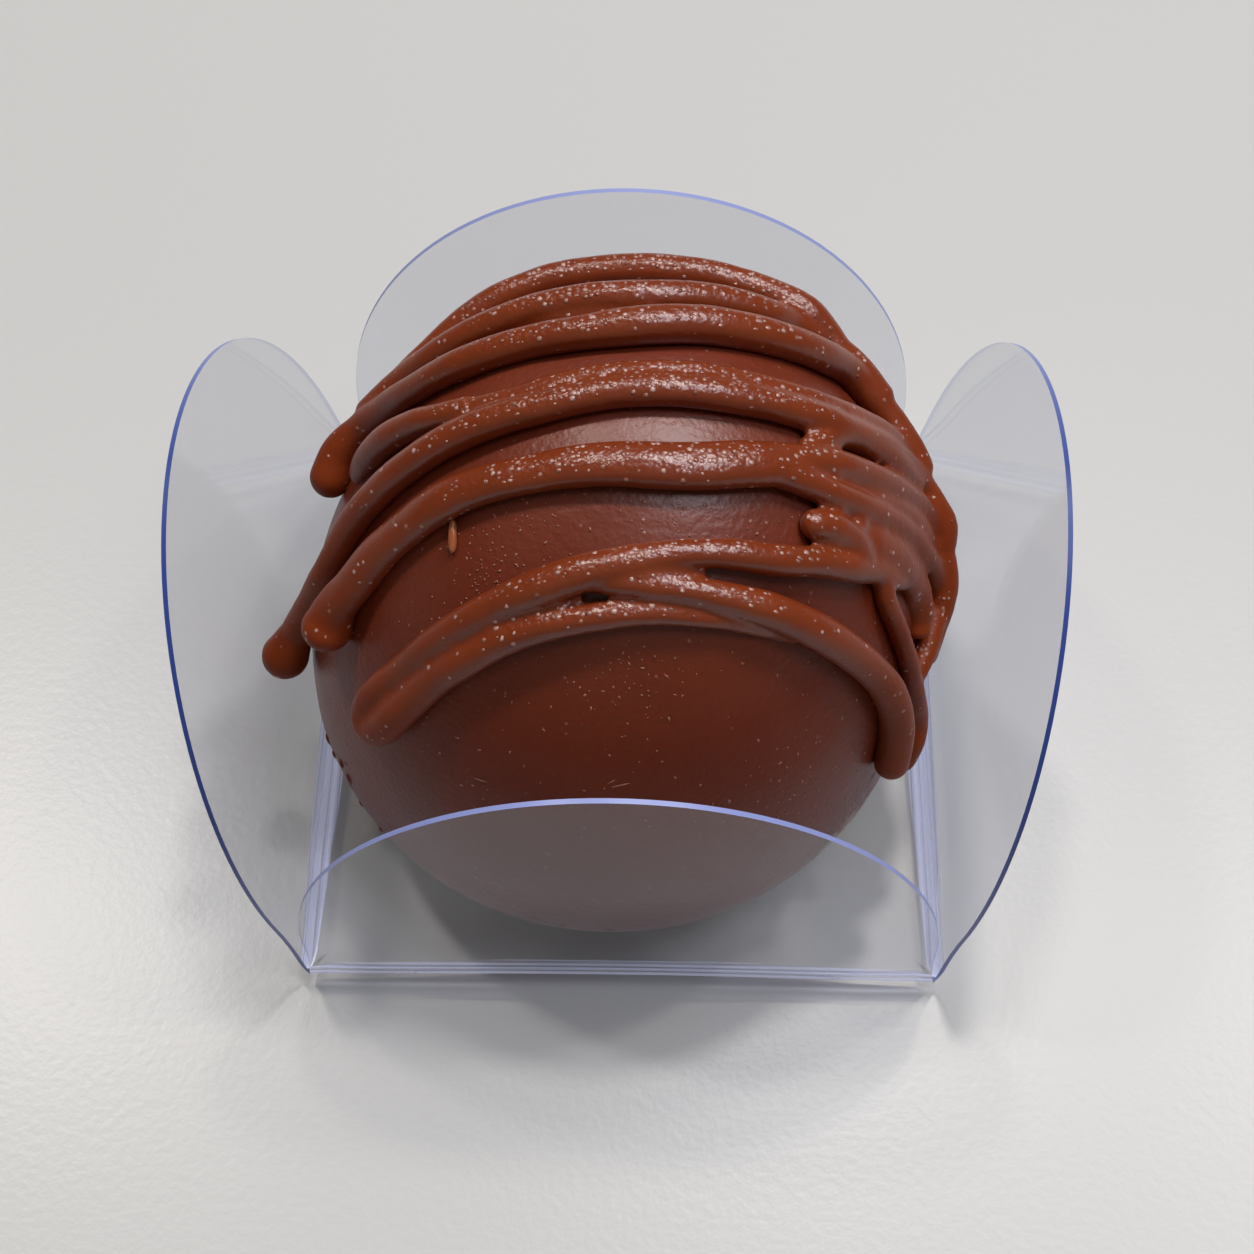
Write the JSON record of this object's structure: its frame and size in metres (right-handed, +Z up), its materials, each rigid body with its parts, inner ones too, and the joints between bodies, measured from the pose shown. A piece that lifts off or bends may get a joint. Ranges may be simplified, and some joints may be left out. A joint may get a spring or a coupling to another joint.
{
  "type": "chocolate dome",
  "caption": "Round chocolate dome with thick piped chocolate drizzle over its crown, sitting in a clear folded case with a rounded petal on each side.",
  "frame": {"origin": "middle of the underside of the case's base, on the surface that it stands on", "axes": "+Z up, +X to the right as the picture shows it, +Y to the back"},
  "size_m": [0.0437, 0.0358, 0.0334],
  "materials": {
    "chocolate": "satin milk chocolate, smooth on the dome and finely dimpled on the drizzle",
    "clear_sheet": "clear stiff plastic sheet with a faint haze and blue cut edges"
  },
  "bodies": {
    "root": {"chocolate": "chocolate", "case": "clear_sheet"}
  },
  "joints": []
}
